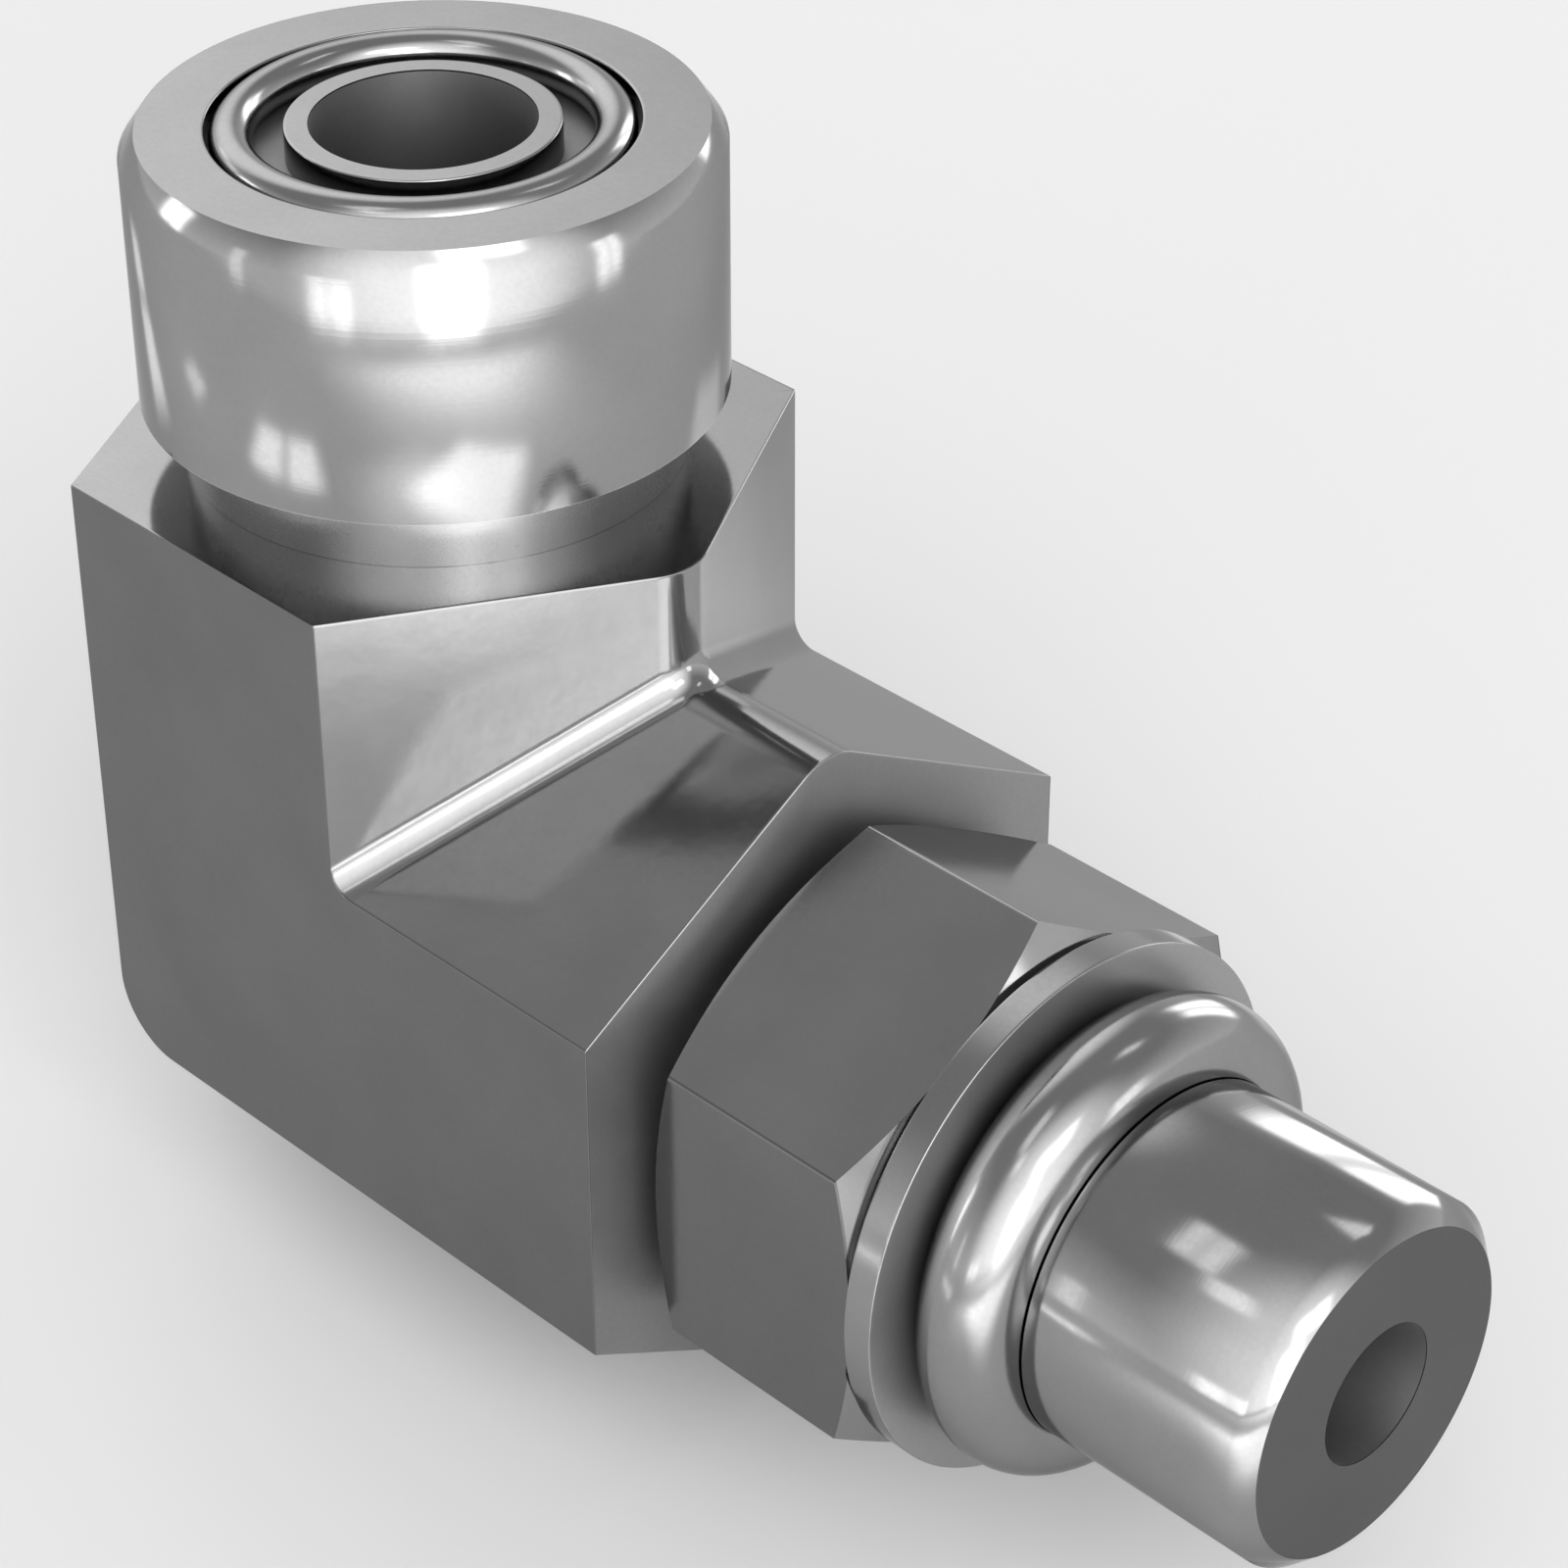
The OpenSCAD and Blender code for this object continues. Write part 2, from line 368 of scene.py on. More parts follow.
middle_rows = bend_rows(steps=20, leg_steps=6)
print("bend radii from", bend_radii().min().round(2), "to", bend_radii().max().round(2))

# %% [markdown]
# Now all the rows are stacked in the order in which they follow each other along the body. The end
# rows of the stud arm are made as for an arm along Z, so their first and third numbers change places.

# %% Body skin
face_seal_rows = np.stack([ring_about_z(r, z) for r, z in face_seal_profile])
face_end_rows = arm_end_rows(face_arm_end, ring_about_z(neck_r, face_arm_end))
stud_end_rows = arm_end_rows(stud_arm_end, ring_about_z(stud_r, stud_arm_end))[::-1, :, ::-1]
stud_rows = np.stack([ring_about_x(r, x) for r, x in stud_profile])
body_grid = np.concatenate([face_seal_rows, face_end_rows, middle_rows, stud_end_rows, stud_rows])
stud_first_row = len(body_grid) - len(stud_rows)
body_crisp = (list(np.flatnonzero(face_seal_crisp)) + [len(face_seal_rows), stud_first_row - 1]
              + list(stud_first_row + np.flatnonzero(stud_crisp)))
elbow_body = skin("elbow_body_skin", body_grid, body_crisp)
print("body skin:", body_grid.shape[0], "rows of", body_grid.shape[1], "points")

# %% [markdown]
# ## The two flow bores
#
# The passage is drilled: one drill comes down the face seal arm and leaves its pointed end below the
# stud's axis, and a thinner drill comes in through the stud until both meet. A boolean does just what
# the drills do, so the oval hole where they meet comes out right by itself.

# %% Drill the bores
face_bore_r = 3.3
stud_bore_r = 2.15
drill_tip_r = 0.02
drill_point_angle = 59
drill_overshoot = 1
drill_columns = 128
same_point = 0.00002
steep_angle = 50
drill_point_len = face_bore_r / np.tan(np.radians(drill_point_angle))
drill_turn = np.linspace(0, 2 * np.pi, drill_columns + 1)[:-1]


def drill(name, radii, places, along_x):
    """A turned cutting tool: circles of the given radii at the given places along Z, or along X."""
    circle = np.stack([np.cos(drill_turn), np.sin(drill_turn)], axis=-1)
    flat = np.array(radii)[:, None, None] * circle[None]
    height = np.broadcast_to(np.array(places)[:, None, None], flat.shape[:2] + (1,))
    grid = np.concatenate([flat, height], axis=-1)
    return skin(name, grid[..., ::-1] if along_x else grid, [1, 2])


def joined_points(mesh):
    """Joins points that a cut has left on top of each other, so that no face has a side of no length."""
    work = bmesh.new()
    work.from_mesh(mesh)
    bmesh.ops.remove_doubles(work, verts=work.verts, dist=same_point * MM)
    work.to_mesh(mesh)
    work.free()


def drilled(piece, drills):
    """Cuts each drill out of the piece, keeps the result as its mesh, and marks the new edges crisp."""
    for tool in drills:
        cut = piece.modifiers.new(tool.name, "BOOLEAN")
        cut.operation = "DIFFERENCE"
        cut.solver = "EXACT"
        cut.object = tool
    graph = bpy.context.evaluated_depsgraph_get()
    cut_piece = piece.evaluated_get(graph)
    mesh = bpy.data.meshes.new_from_object(cut_piece, preserve_all_data_layers=True, depsgraph=graph)
    joined_points(mesh)
    piece.modifiers.clear()
    piece.data = mesh
    kept = np.zeros(len(mesh.edges), dtype=bool)
    mesh.attributes["sharp_edge"].data.foreach_get("value", kept)
    mesh.set_sharp_from_angle(angle=np.radians(steep_angle))
    steep = np.zeros(len(mesh.edges), dtype=bool)
    mesh.attributes["sharp_edge"].data.foreach_get("value", steep)
    mesh.attributes["sharp_edge"].data.foreach_set("value", kept | steep)
    for tool in drills:
        bpy.data.objects.remove(tool)
    print(piece.name, "has", len(mesh.polygons), "faces;", kept.sum(), "crisp edges kept,",
          steep.sum(), "steep")


face_bore_floor = -stud_bore_r
face_bore_tip = face_bore_floor - drill_point_len
face_drill = drill("face_drill", [face_bore_r, face_bore_r, face_bore_r, drill_tip_r],
                   [sealing_face_z + drill_overshoot, sealing_face_z - drill_overshoot,
                    face_bore_floor, face_bore_tip], False)
stud_drill = drill("stud_drill", [stud_bore_r, stud_bore_r, stud_bore_r],
                   [stud_end_x + drill_overshoot, stud_end_x - drill_overshoot, 0], True)
drilled(elbow_body, [face_drill, stud_drill])

# %% [markdown]
# ## Lock nut
#
# A nut is a hexagon whose corners are turned off by a flat cone. Where the cone meets a flat it leaves
# the curved edge that every nut has. For each point of the outline that place is known: the further
# out the point lies, the deeper the cone cuts. So the cut is simply a row whose height varies.

# %% Nut skin
nut_corner_r = 0.12
nut_face_r = 7.775
nut_bore_r = 5.605
nut_mouth = 0.5
nut_mouth_r = nut_bore_r + nut_mouth
nut_cone_angle = 26
nut_cone = np.tan(np.radians(nut_cone_angle))
nut_wall_rows = 7
nut_outline, _ = rounded_hexagon(nut_half, 6 * [nut_corner_r], 6 * [corner_steps])
nut_turn = np.arctan2(nut_outline[:, 1], nut_outline[:, 0])
cone_depth = (np.linalg.norm(nut_outline, axis=-1) - nut_face_r) * nut_cone


def nut_circle(radius, place):
    """A circle round the stud: (place, r sin t, r cos t)."""
    x = np.full_like(nut_turn, place)
    return np.stack([x, radius * np.sin(nut_turn), radius * np.cos(nut_turn)], axis=-1)


def nut_wall(share):
    """The outline at a share of the way between the two cone cuts:
    x = start + depth + share * (length - 2 * depth)."""
    length = nut_end_x - nut_start_x
    x = nut_start_x + cone_depth + share * (length - 2 * cone_depth)
    return np.stack([x, nut_outline[:, 1], nut_outline[:, 0]], axis=-1)


nut_rows = [nut_circle(nut_mouth_r, nut_start_x), nut_circle(nut_face_r, nut_start_x)]
nut_rows += [nut_wall(share) for share in np.linspace(0, 1, nut_wall_rows)]
nut_rows += [nut_circle(nut_face_r, nut_end_x), nut_circle(nut_mouth_r, nut_end_x),
             nut_circle(nut_bore_r, nut_end_x - nut_mouth), nut_circle(nut_bore_r, nut_start_x + nut_mouth)]
lock_nut = skin("lock_nut_skin", np.stack(nut_rows), [0, 1, 2, 8, 9, 10, 11, 12], closed_rows=True)
print("nut skin:", len(nut_rows), "rows of", len(nut_turn), "points")

# %% [markdown]
# ## Washer and seal rings
#
# All three are turned shapes, so each is a closed profile carried round its axis: a thin rectangle
# with eased edges for the washer, and a circle for the seal rings.

# %% Washer and rings
ring_columns = 192
section_steps = 56
ring_turn = np.linspace(0, 2 * np.pi, ring_columns + 1)[:-1]


def turned(name, profile, crisp, along_x):
    """Carries a closed profile of (radius, place) once round its axis, along X or Z."""
    circle = np.stack([np.cos(ring_turn), np.sin(ring_turn)], axis=-1)
    flat = profile[:, 0, None, None] * circle[None]
    height = np.broadcast_to(profile[:, 1, None, None], flat.shape[:2] + (1,))
    grid = np.concatenate([flat, height], axis=-1)
    return skin(name, grid[..., ::-1] if along_x else grid, crisp, closed_rows=True)


def seal_ring_profile(node, axis):
    """A circle round the middle of the ring's section, measured from the solid:
    (R + q cos s, h + q sin s)."""
    q = (cad_size(node, high, axis) - cad_size(node, low, axis)) / 2
    h = (cad_size(node, high, axis) + cad_size(node, low, axis)) / 2
    mid_r = cad_size(node, high, "Y") - q
    s = np.linspace(0, 2 * np.pi, section_steps + 1)[:-1]
    return np.stack([mid_r + q * np.cos(s), h + q * np.sin(s)], axis=-1)


washer_edge = 0.03
washer_profile, washer_crisp = turned_profile([
    (nut_bore_r, washer_start_x, "crisp"),
    (washer_r, washer_start_x, washer_edge),
    (washer_r, washer_end_x, washer_edge),
    (nut_bore_r, washer_end_x, "crisp")])
backup_washer = turned("backup_washer_skin", washer_profile, np.flatnonzero(washer_crisp), True)
stud_ring = turned("stud_o_ring_skin", seal_ring_profile("stud_o_ring", "X"), [], True)
face_ring = turned("face_seal_o_ring_skin", seal_ring_profile("face_seal_o_ring", "Z"), [], False)
print("washer and two seal rings are in place")

# %% [markdown]
# ## Finish
#
# The parts are steel with a bright plating. Plating this thin shows what is under it: fine rings where
# a part was turned, a little unevenness where it was forged, and small changes in gloss from handling.
# None of it is a picture. Each pattern is worked out from the place on the piece, so it stays put from
# every side, and it is only a few micrometres deep.

# %% Node helpers


def add_node(tree, kind, inputs=None, **settings):
    """Adds a node, sets its settings, and fills or links the inputs that are given."""
    made = tree.nodes.new(kind)
    for key, value in settings.items():
        setattr(made, key, value)
    for key, value in (inputs or {}).items():
        if isinstance(value, bpy.types.NodeSocket):
            tree.links.new(value, made.inputs[key])
        else:
            made.inputs[key].default_value = value
    return made


def math_node(tree, operation, first, second=0.0, third=0.0):
    """One calculation, as the socket that holds its result."""
    return add_node(tree, "ShaderNodeMath", {0: first, 1: second, 2: third}, operation=operation).outputs[0]


def remap(tree, value, low_in, high_in, low_out, high_out):
    """Maps one range onto another, and holds the ends."""
    return add_node(tree, "ShaderNodeMapRange", {"Value": value, "From Min": low_in, "From Max": high_in,
                                                 "To Min": low_out, "To Max": high_out}).outputs["Result"]


print("node helpers are ready")

# %% [markdown]
# Steel that was turned has fine rings, and steel that was forged has a faint orange peel. Both could be
# pictures laid over the piece, but a picture stretches and ends at a seam. A pattern that is worked out
# from the place on the piece has no seam. It moves with the piece, because it reads Object coordinates
# and each object stands at the origin.

# %% Patterns in the metal
ring_scale = 9.0


def place_in_mm(tree):
    """The place on the piece in millimetres, as a vector and as its three numbers."""
    place = add_node(tree, "ShaderNodeTexCoord").outputs["Object"]
    scaled = add_node(tree, "ShaderNodeVectorMath", {0: place, "Scale": 1 / MM}, operation="SCALE")
    split = add_node(tree, "ShaderNodeSeparateXYZ", {0: scaled.outputs[0]})
    return scaled.outputs[0], split.outputs[0], split.outputs[1], split.outputs[2]


def noise(tree, place, scale, detail=2.0, roughness=0.5):
    """A cloud pattern from 0 to 1 with the given number of clouds per millimetre."""
    return add_node(tree, "ShaderNodeTexNoise", {"Vector": place, "Scale": scale, "Detail": detail,
                                                 "Roughness": roughness}).outputs["Fac"]


def squared_distance(tree, first, second):
    """first * first + second * second, which is the squared distance from the third axis."""
    return math_node(tree, "MULTIPLY_ADD", first, first, math_node(tree, "MULTIPLY", second, second))


def turning_rings(tree, first, second, along):
    """Fine uneven rings, as a lathe leaves them. They follow distance from the axis plus place along it,
    which makes circles on a flat end and on a cylinder alike."""
    distance = math_node(tree, "SQRT", squared_distance(tree, first, second))
    place = math_node(tree, "ADD", distance, along)
    settings = {"W": place, "Scale": ring_scale, "Detail": 3.0, "Roughness": 0.6}
    return add_node(tree, "ShaderNodeTexNoise", settings, noise_dimensions="1D").outputs["Fac"]


print("the metal's patterns are ready")

# %% [markdown]
# Not every place is as bright as the plated outside. A drill and a grooving tool leave a duller wall.
# The neck under the barrel and the washer's side towards the port are duller too, as freshly cut steel
# is. Their colour is also lighter: painted light, where the lamps leave them dark. The arms' and the
# nut's side flats and the stud's end get a darker colour: painted shade, which stands in for a darker
# reflection. One material with masks does all this. A second material would need its own faces, with
# the border between them cut into the mesh.

# %% Places that are duller, painted lighter or painted darker
dull_roughness = 0.4
neck_roughness = 0.16
washer_face_roughness = 0.25
# Painted light: the neck with the barrel's underside, and the washer's side towards the port, get a lighter
# colour where the lamps leave them dark.
neck_painted_light = 1.5
washer_face_painted_light = 1.25
# Painted shade: the side flats and the stud's end get a darker colour, which stands in for a darker
# reflection.
side_flat_painted_shade = 0.58
stud_end_painted_shade = 0.45
hair = 0.01


def between(tree, value, start, end):
    """1 where the value lies between two numbers, and 0 elsewhere."""
    return math_node(tree, "MULTIPLY", math_node(tree, "GREATER_THAN", value, start),
                     math_node(tree, "LESS_THAN", value, end))


def on_neck(tree, z):
    """1 on the neck and on the underside of the barrel above it, and 0 elsewhere."""
    return between(tree, z, face_arm_end + 2 * hair, barrel_start_z + 2 * hair)


def on_washer_face(tree, x):
    """1 on the washer's side towards the port, and 0 elsewhere."""
    return math_node(tree, "GREATER_THAN", x, washer_end_x - hair)


def on_side_flats(tree, y, half_width):
    """1 on the two flats that face the sides, and 0 elsewhere."""
    return math_node(tree, "GREATER_THAN", math_node(tree, "ABSOLUTE", y), half_width - hair)


def on_stud_end(tree, x):
    """1 on the stud's flat end, and 0 elsewhere."""
    return math_node(tree, "GREATER_THAN", x, stud_end_x - hair)


def dull_places(tree, x, y, z):
    """How much rougher the body is where the tool left a duller surface. Those places are the neck,
    the floor of the groove, the arm's end face behind the lock nut, and the walls of both flow bores:
    close to an axis, and between its ends."""
    inside_barrel = math_node(tree, "LESS_THAN", squared_distance(tree, x, y), (groove_r + hair) ** 2)
    groove_floor = between(tree, z, groove_floor_z - hair, groove_floor_z + hair)
    masks = [math_node(tree, "MULTIPLY", on_neck(tree, z), neck_roughness / dull_roughness),
             math_node(tree, "MULTIPLY", groove_floor, inside_barrel),
             between(tree, x, stud_arm_end - hair, stud_arm_end + hair)]
    for first, second, along, radius, start, end in (
            (x, y, z, face_bore_r + 2 * hair, face_bore_tip - hair, sealing_face_z - fine_edge),
            (y, z, x, stud_bore_r + 2 * hair, 0.0, stud_end_x - 3 * hair)):
        near_axis = math_node(tree, "LESS_THAN", squared_distance(tree, first, second), radius ** 2)
        masks.append(math_node(tree, "MULTIPLY", near_axis, between(tree, along, start, end)))
    dull = masks[0]
    for mask in masks[1:]:
        dull = math_node(tree, "MAXIMUM", dull, mask)
    return math_node(tree, "MULTIPLY", dull, dull_roughness)


print("the masks are ready")

# %% [markdown]
# A metal shader needs a colour, a roughness and a slight bump. The colour of this steel is a middle
# grey, and what makes it look bright is what it mirrors. Seen from the side every metal turns into a
# mirror, and Specular Tint holds that back, as the fine grain of a plated surface does. The painted
# shade of the side flats ends half way round their corners, so that no light line is left along them.

# %% Plated steel
steel_grey = 0.32
grazing_tint = 0.6
cloud_scale = 0.22
speck_scale = 6.0
cloud_tones = (0.94, 1.04)
speck_tones = (1.02, 0.97)
cloud_share = 0.6
grain_scale = 38.0
grain_height = 0.35
ring_height = 0.4
peel_scale = 0.9
peel_height = 5.0
bump_strength = 0.25
bump_depth = 0.004


def ring_marks(tree, x, y, z, turned_about):
    """Height of the turning rings, and how much of a place was turned: all of it about X, or for the
    body, "both": about Z beyond the face seal arm's end and about X beyond the stud arm's end."""
    about_x = turning_rings(tree, y, z, x)
    if turned_about == "x":
        return about_x, 1.0
    about_z = turning_rings(tree, x, y, z)
    on_face_end = remap(tree, z, face_arm_end - 2 * hair, face_arm_end - hair, 0, 1)
    on_stud = remap(tree, x, stud_arm_end - 2 * hair, stud_arm_end - hair, 0, 1)
    marks = math_node(tree, "ADD", math_node(tree, "MULTIPLY", about_z, on_face_end),
                      math_node(tree, "MULTIPLY", about_x, on_stud))
    return marks, math_node(tree, "ADD", on_face_end, on_stud)


def scaled_where(tree, value, mask, factor):
    """A value, times a factor where the mask is 1."""
    return math_node(tree, "MULTIPLY", value, remap(tree, mask, 0, 1, 1, factor))


def steel(name, gloss_low, gloss_high, turned_about="none", places="plain", side_half=None):
    """Bright plated steel. Its roughness runs from gloss_low to gloss_high in clouds and specks.
    turned_about is "both", "x" or "none". places is "body" or "washer" for the masks of that piece, or
    "plain" for none; those masks add dull places, painted light and painted shade. Beyond side_half from
    the middle, if it is given, lie the side flats, whose colour is darkened as painted shade."""
    material = bpy.data.materials.new(name)
    material.use_nodes = True
    tree = material.node_tree
    shader = tree.nodes["Principled BSDF"]
    shader.inputs["Metallic"].default_value = 1.0
    shader.inputs["Specular Tint"].default_value = (grazing_tint, grazing_tint, grazing_tint, 1)
    place, x, y, z = place_in_mm(tree)
    clouds = noise(tree, place, cloud_scale, 4.0, 0.55)
    specks = noise(tree, place, speck_scale, 3.0, 0.6)
    value = math_node(tree, "MULTIPLY", remap(tree, clouds, 0.3, 0.7, *cloud_tones),
                      remap(tree, specks, 0.35, 0.75, *speck_tones))
    cloudy = math_node(tree, "MULTIPLY_ADD", clouds, cloud_share,
                       math_node(tree, "MULTIPLY", specks, 1 - cloud_share))
    gloss = remap(tree, cloudy, 0.35, 0.65, gloss_low, gloss_high)
    if side_half is not None:
        # Painted shade: the side flats get a darker colour, for a darker reflection.
        value = scaled_where(tree, value, on_side_flats(tree, y, side_half), side_flat_painted_shade)
    if places == "body":
        # Painted light: the neck and the barrel's underside get a lighter colour, because they lie in
        # shade.
        value = scaled_where(tree, value, on_neck(tree, z), neck_painted_light)
        # Painted shade: the stud's end gets a darker colour, for a darker reflection.
        value = scaled_where(tree, value, on_stud_end(tree, x), stud_end_painted_shade)
        gloss = math_node(tree, "ADD", gloss, dull_places(tree, x, y, z))
    if places == "washer":
        face = on_washer_face(tree, x)
        # Painted light: the washer's side towards the port gets a lighter colour where it mirrors shade.
        value = scaled_where(tree, value, face, washer_face_painted_light)
        gloss = math_node(tree, "ADD", gloss, math_node(tree, "MULTIPLY", face, washer_face_roughness))
    grey = add_node(tree, "ShaderNodeVectorMath", {0: 3 * (steel_grey,), "Scale": value}, operation="SCALE")
    tree.links.new(grey.outputs[0], shader.inputs["Base Color"])
    tree.links.new(gloss, shader.inputs["Roughness"])
    height = math_node(tree, "MULTIPLY", noise(tree, place, grain_scale), grain_height)
    if turned_about != "none":
        marks, turned_share = ring_marks(tree, x, y, z, turned_about)
        height = math_node(tree, "MULTIPLY_ADD", marks, ring_height, height)
        if turned_about == "both":
            forged = math_node(tree, "SUBTRACT", 1.0, turned_share)
            peel = math_node(tree, "MULTIPLY", noise(tree, place, peel_scale), forged)
            height = math_node(tree, "MULTIPLY_ADD", peel, peel_height, height)
    bump = add_node(tree, "ShaderNodeBump",
                    {"Height": height, "Strength": bump_strength, "Distance": bump_depth * MM})
    tree.links.new(bump.outputs[0], shader.inputs["Normal"])
    return material


# Where the painted shade of the side flats begins: half way round their corners.
arm_side_half = arm_half - forged_corner_r / 2
nut_side_half = nut_half - nut_corner_r / 2
body_steel = steel("plated_steel", 0.08, 0.14, turned_about="both", places="body", side_half=arm_side_half)
nut_steel = steel("nut_steel", 0.09, 0.15, turned_about="x", side_half=nut_side_half)
washer_steel = steel("washer_steel", 0.12, 0.2, turned_about="x", places="washer")
seal_finish = steel("seal", 0.12, 0.2)
print("finishes:", [finish.name for finish in (body_steel, nut_steel, washer_steel, seal_finish)])

# %% [markdown]
# Each skin takes its finish, and stands for one solid of the model. It rides on that solid's body, so
# it follows when the body moves.

# %% Dress the pieces


def dress(piece, material, node, body):
    """Gives a piece its finish and its place among the moving bodies, and hides the solid that it stands
    for.
    """
    piece.data.materials.clear()
    piece.data.materials.append(material)
    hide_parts(node)
    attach(piece, body)
    print(piece.name, "rides on", body)


dress(elbow_body, body_steel, "elbow_body", "elbow")
dress(lock_nut, nut_steel, "lock_nut", "nut")
dress(backup_washer, washer_steel, "backup_washer", "washer")
dress(stud_ring, seal_finish, "stud_o_ring", "elbow")
dress(face_ring, seal_finish, "face_seal_o_ring", "elbow")

# %% [markdown]
# ## Camera
#
# The camera looks from the front right and from above, as in the photograph. A long lens close to the
# part keeps its perspective.

# %% Camera
view_azimuth = np.radians(45.72)
view_elevation = np.radians(33.13)
view_roll = np.radians(-0.471)
view_distance = 135.59
view_target = np.array([5.087, 7.144, 4.034])

back = np.array([np.sin(view_azimuth) * np.cos(view_elevation),
                 -np.cos(view_azimuth) * np.cos(view_elevation), np.sin(view_elevation)])
right = np.cross(-back, [0, 0, 1])
right /= np.linalg.norm(right)
up = np.cross(right, -back)
rolled_right = np.cos(view_roll) * right + np.sin(view_roll) * up
rolled_up = -np.sin(view_roll) * right + np.cos(view_roll) * up
camera_data = bpy.data.cameras.new("camera")
camera_data.sensor_width = 36
camera_data.lens = 99.19
camera_data.shift_x = 0.0330
camera_data.shift_y = -0.0513
camera_data.clip_start = 0.01
camera = bpy.data.objects.new("camera", camera_data)
bpy.context.scene.collection.objects.link(camera)
camera_place = (view_target + back * view_distance) * MM
axes = np.eye(4)
axes[:3, 0] = rolled_right
axes[:3, 1] = rolled_up
axes[:3, 2] = back
axes[:3, 3] = camera_place
camera.matrix_world = Matrix(axes.tolist())
bpy.context.scene.camera = camera
print("camera at", [round(float(v), 4) for v in camera_place])

# %% [markdown]
# ## Floor and light
#
# Metal has no look of its own: it shows what is around it. So the surroundings are a part of the
# finish: a plain pale floor, a room that glows softly, windows round the part, and lit panels below it.
# The floor is one flat square. It is so large that its far edge lies beyond what the metal shows.

# %% Floor
floor_gap = 0.005
floor_z = cad_size("elbow_body", low, "Z") - floor_gap
floor_half = 3000.0
floor_colour = 0.74


def make_floor():
    """One flat square under the part."""
    corners = np.array([[-1, -1], [1, -1], [1, 1], [-1, 1]]) * floor_half
    points = np.append(corners, np.full((4, 1), floor_z), axis=-1) * MM
    mesh = bpy.data.meshes.new("floor")
    mesh.from_pydata(points.tolist(), [], [(0, 1, 2, 3)])
    material = bpy.data.materials.new("pale_floor")
    material.use_nodes = True
    shader = material.node_tree.nodes["Principled BSDF"]
    shader.inputs["Base Color"].default_value = (floor_colour, floor_colour, floor_colour, 1)
    shader.inputs["Roughness"].default_value = 0.9
    shader.inputs["Specular IOR Level"].default_value = 0.0
    mesh.materials.append(material)
    floor = bpy.data.objects.new("floor", mesh)
    bpy.context.scene.collection.objects.link(floor)
    return floor


floor = make_floor()
print("floor at", floor_z)

# %% [markdown]
# The room is the world's background. It is brightest at the horizon, and two wide soft patches of it
# glow: one in front of the part, on the camera's side, and one behind. They are part of the room and
# not lamps, because light from far away falls on the whole floor alike and leaves no hot spot there.

# %% World
world = bpy.data.worlds.new("studio")
world.use_nodes = True
zenith_level = 0.44
horizon_level = 1.14
zenith_from = 0.6
glowing_patches = {
    "front": (-34, 20, 62, 8, 1.85),
    "back": (162, 34, 34, 4, 1.32),
}


def towards(azimuth, elevation):
    """The direction seen from the part: (cos a cos e, sin a cos e, sin e)."""
    a, e = np.radians(azimuth), np.radians(elevation)
    return Vector((np.cos(a) * np.cos(e), np.sin(a) * np.cos(e), np.sin(e)))


def light_the_world():
    """Strength = a ramp from the horizon up, plus for each patch its strength times a smooth step of the
    cosine between the view and the patch's middle, from its outer angle to its inner angle."""
    tree = world.node_tree
    direction = add_node(tree, "ShaderNodeTexCoord").outputs["Generated"]
    upward = add_node(tree, "ShaderNodeSeparateXYZ", {0: direction}).outputs[2]
    level = remap(tree, upward, 0.0, zenith_from, horizon_level, zenith_level)
    for azimuth, elevation, outer, inner, strength in glowing_patches.values():
        cosine = add_node(tree, "ShaderNodeVectorMath", {0: direction, 1: towards(azimuth, elevation)},
                          operation="DOT_PRODUCT").outputs["Value"]
        glow = add_node(tree, "ShaderNodeMapRange",
                        {"Value": cosine, "From Min": np.cos(np.radians(outer)),
                         "From Max": np.cos(np.radians(inner)), "To Max": strength},
                        interpolation_type="SMOOTHSTEP").outputs["Result"]
        level = math_node(tree, "ADD", level, glow)
    tree.links.new(level, tree.nodes["Background"].inputs["Strength"])
    tree.nodes["Background"].inputs["Color"].default_value = (1, 1, 1, 1)


light_the_world()
bpy.context.scene.world = world
print("room light from", zenith_level, "above to", horizon_level, "at the horizon")

# %% [markdown]
# ## Windows
#
# On a real set, windows and soft boxes stand round the part, and a round barrel shows each one as a
# bright upright shape. They could be planes that glow, but a lamp can be kept out of the picture and
# is less noisy. These stand far off, so that they look alike from every piece, and they fade towards
# their edges, as the cloth of a soft box does.

# %% Fading lamps
lamp_centre = Vector((0, 0, 20))
lamp_distance = 1600
window_bar_ends = (0.03, 0.1)
window_bar_level = 0.45
window_softness_limit = 0.5


def fade_edges(light, softness):
    """Makes a lamp fade towards its edges. u and v run from 0 to 1 over it, and on each the strength
    rises smoothly from 0 at an edge to 1 at the given share of the way to the middle. The harder lamps
    are windows, so each has a darker bar down its middle."""
    light.use_nodes = True
    tree = light.node_tree
    across_lamp = add_node(tree, "ShaderNodeNewGeometry").outputs["Parametric"]
    split = add_node(tree, "ShaderNodeSeparateXYZ", {0: across_lamp})
    share = []
    for k in (0, 1):
        to_far_edge = math_node(tree, "SUBTRACT", 1.0, split.outputs[k])
        to_edge = math_node(tree, "MINIMUM", split.outputs[k], to_far_edge)
        share.append(add_node(tree, "ShaderNodeMapRange", {"Value": to_edge, "From Max": softness / 2},
                              interpolation_type="SMOOTHSTEP").outputs["Result"])
    if softness < window_softness_limit:
        from_middle = math_node(tree, "ABSOLUTE", math_node(tree, "SUBTRACT", split.outputs[0], 0.5))
        bar = remap(tree, from_middle, *window_bar_ends, window_bar_level, 1.0)
        share[0] = math_node(tree, "MULTIPLY", share[0], bar)
    strength = math_node(tree, "MULTIPLY", share[0], share[1])
    tree.links.new(strength, tree.nodes["Emission"].inputs["Strength"])


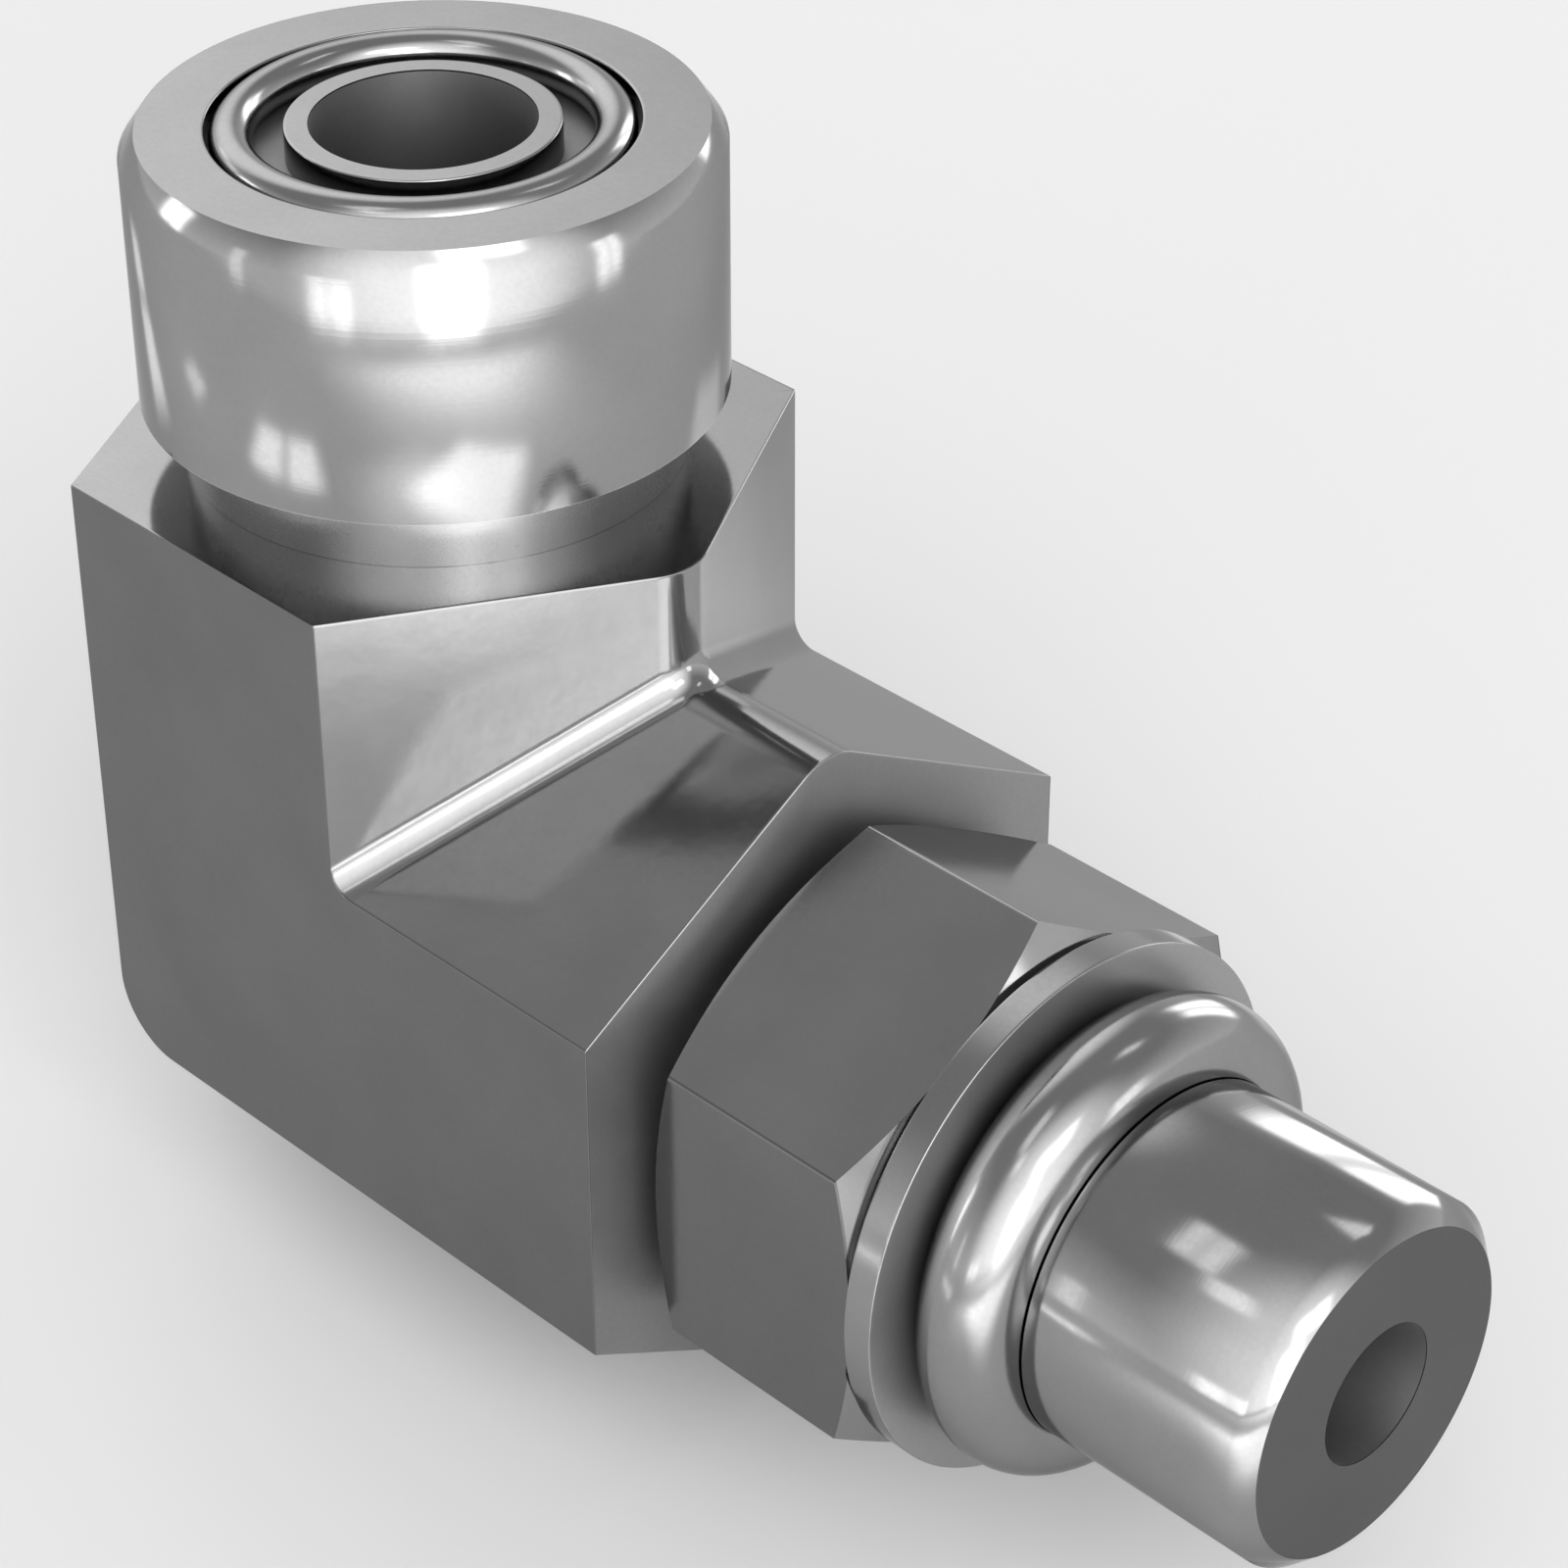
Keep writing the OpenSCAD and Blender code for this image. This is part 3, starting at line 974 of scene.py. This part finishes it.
def area_lamp(name, wide, tall, brightness, softness):
    """A rectangular lamp of a size in millimetres that the camera doesn't see. It looks white where its
    brightness is 1, so its power is brightness * pi * area."""
    data = bpy.data.lights.new(name, "AREA")
    data.shape = "RECTANGLE"
    data.size = wide * MM
    data.size_y = tall * MM
    data.energy = brightness * np.pi * data.size * data.size_y
    fade_edges(data, softness)
    lamp = bpy.data.objects.new(name, data)
    bpy.context.scene.collection.objects.link(lamp)
    lamp.visible_camera = False
    return lamp


print("fading lamps are ready")

# %% [markdown]
# What the metal mirrors depends on directions only, so a window's place and size are easiest to write
# as angles. Ten degrees is about a fist's width at arm's length. The flats, the barrel and the stud
# each mirror another part of the ring of windows.

# %% Windows round the part


def seen_size(angle):
    """The width, in millimetres, that spans an angle at the lamps' distance: 2 d tan(angle / 2)."""
    return 2 * lamp_distance * np.tan(np.radians(angle) / 2)


def window(name, azimuth, elevation, wide, tall, brightness, softness):
    """A lamp that faces the barrel. Its place and size are angles seen from there, with azimuth 0 along
    +X and 90 along +Y."""
    lamp = area_lamp(name, seen_size(wide), seen_size(tall), brightness, softness)
    direction = towards(azimuth, elevation)
    lamp.location = (lamp_centre + direction * lamp_distance) * MM
    lamp.rotation_mode = "QUATERNION"
    lamp.rotation_quaternion = direction.to_track_quat("Z", "Y")


windows = {
    "front_window": (-33, 13, 26, 34, 4.84, 0.55),
    "front_high_window": (-19, 37, 34, 20, 2.6, 0.45),
    "left_window": (-76, 1, 18, 12, 1.76, 0.3),
    "left_bar": (-112, 5, 6, 20, 1.06, 0.4),
    "left_far_window": (-146, 9, 16, 24, 3.52, 0.4),
    "left_roof_window": (-95, 66, 14, 26, 1.41, 0.4),
    "corner_window": (-78, 50, 14, 12, 1.2, 0.5),
    "right_window": (26, 6, 12, 20, 2.11, 0.3),
    "back_window": (100, 12, 28, 34, 3.52, 0.4),
    "back_roof_window": (67, 57, 10, 16, 1.41, 0.5),
    "far_window": (-170, 16, 26, 12, 1.06, 0.4),
}
for lamp_name, numbers in windows.items():
    window(lamp_name, *numbers)
print(len(windows), "windows")

# %% [markdown]
# ## Panels below the part
#
# Seen from above, an upright wall mirrors what lies on the floor. With the pale floor alone, the barrel
# would be one flat grey. A few lit panels just above the floor put bright shapes into it. They face
# up, so they give light to the part and none to the floor.

# %% Panels on the floor
panel_gap = 0.1


def floor_panel(name, x, y, wide_x, wide_y, brightness, softness, lift):
    """A lit panel at a lift above the floor, facing up. Its place, sizes and lift are millimetres. Each
    panel has a lift of its own, because where two lamps lie in one plane only one of them shows."""
    lamp = area_lamp(name, wide_x, wide_y, brightness, softness)
    lamp.location = Vector((x, y, floor_z + lift)) * MM
    lamp.rotation_euler = (np.pi, 0, 0)


floor_panels = {
    "front_sheet": (250, -162, 460, 460, 1.76, 0.8),
    "front_panel": (66, -35, 60, 54, 1.75, 0.5),
    "left_panel": (-8, -78, 42, 34, 1.58, 0.4),
    "back_panel": (10, 48, 30, 40, 0.62, 0.5),
    "near_sheet": (48, -52, 70, 70, 0.9, 1.0),
    "far_left_panel": (-92, -20, 80, 16, 1.6, 0.4),
    "corner_panel": (-66, -66, 18, 18, 1.2, 0.4),
}
for count, (lamp_name, numbers) in enumerate(floor_panels.items(), start=1):
    floor_panel(lamp_name, *numbers, lift=panel_gap * count)
print(len(floor_panels), "floor panels")

# %% [markdown]
# ## View transform
#
# The Standard view transform shows colours as they are written. Other transforms give the softer look
# of film, but a pale part turns grey in them. The skins have to stay inside the solids' box.

# %% View transform
bpy.context.scene.view_settings.view_transform = "Standard"
